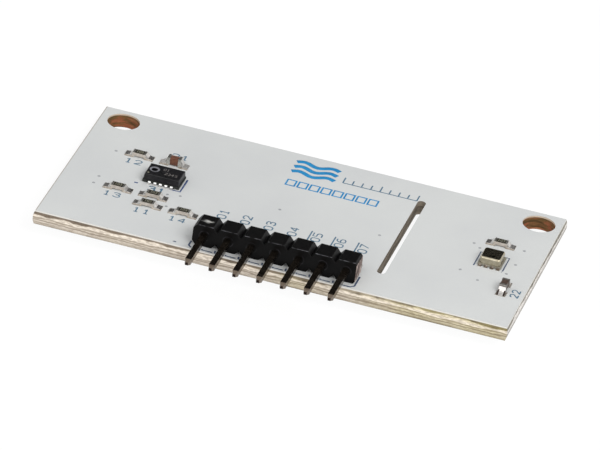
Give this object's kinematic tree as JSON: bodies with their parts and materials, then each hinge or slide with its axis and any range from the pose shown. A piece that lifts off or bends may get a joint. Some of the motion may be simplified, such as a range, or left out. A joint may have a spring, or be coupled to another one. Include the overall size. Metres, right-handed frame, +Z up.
{
  "type": "air quality sensor module",
  "caption": "White circuit board with a black right-angle pin header, a gas sensor, a metal-lidded climate sensor, chip parts, a milled slot and corner mounting holes.",
  "frame": {"origin": "midpoint of the two mounting holes, on the board's underside", "axes": "+X along the board's long side, +Y from the pin header towards the mounting holes, +Z up out of the side that carries the parts"},
  "size_m": [0.051, 0.0307, 0.0055],
  "materials": {
    "board": "white satin solder mask over glass-filled laminate, scored edges bare and tan",
    "tinned_copper": "copper with a bright tin finish",
    "housing_plastic": "black moulded plastic, slightly grained",
    "pin_metal": "bright plated square wire",
    "solder": "bright solder with smooth hollow fillets",
    "sensor_laminate": "dark laminate",
    "cover_plastic": "black moulding with a vent",
    "silicon": "polished silicon die",
    "lid_metal": "drawn, plated sheet metal",
    "white_ceramic": "fired white ceramic",
    "dark_coating": "dark glassy coating",
    "brown_ceramic": "fired brown ceramic",
    "end_cap_metal": "plated metal end caps"
  },
  "bodies": {
    "root": {"circuit_board": "board", "copper_lands": "tinned_copper", "header_housing": "housing_plastic", "header_pin_1": "pin_metal", "header_pin_2": "pin_metal", "header_pin_3": "pin_metal", "header_pin_4": "pin_metal", "header_pin_5": "pin_metal", "header_pin_6": "pin_metal", "header_pin_7": "pin_metal", "pin_solder_joints": "solder", "gas_sensor_base": "sensor_laminate", "gas_sensor_cover": "cover_plastic", "gas_sensing_die": "silicon", "gas_control_die": "silicon", "gas_sensor_solder": "solder", "climate_sensor_base": "sensor_laminate", "climate_sensor_lid": "lid_metal", "climate_sensing_die": "silicon", "climate_control_die": "silicon", "climate_sensor_solder": "solder", "resistor_1_ceramic": "white_ceramic", "resistor_1_coating": "dark_coating", "resistor_1_end_caps": "end_cap_metal", "resistor_2_ceramic": "white_ceramic", "resistor_2_coating": "dark_coating", "resistor_2_end_caps": "end_cap_metal", "resistor_3_ceramic": "white_ceramic", "resistor_3_coating": "dark_coating", "resistor_3_end_caps": "end_cap_metal", "resistor_4_ceramic": "white_ceramic", "resistor_4_coating": "dark_coating", "resistor_4_end_caps": "end_cap_metal", "resistor_5_ceramic": "white_ceramic", "resistor_5_coating": "dark_coating", "resistor_5_end_caps": "end_cap_metal", "resistor_6_ceramic": "white_ceramic", "resistor_6_coating": "dark_coating", "resistor_6_end_caps": "end_cap_metal", "capacitor_1_ceramic": "brown_ceramic", "capacitor_1_end_caps": "end_cap_metal", "capacitor_2_ceramic": "brown_ceramic", "capacitor_2_end_caps": "end_cap_metal", "chip_solder_joints": "solder"}
  },
  "joints": []
}
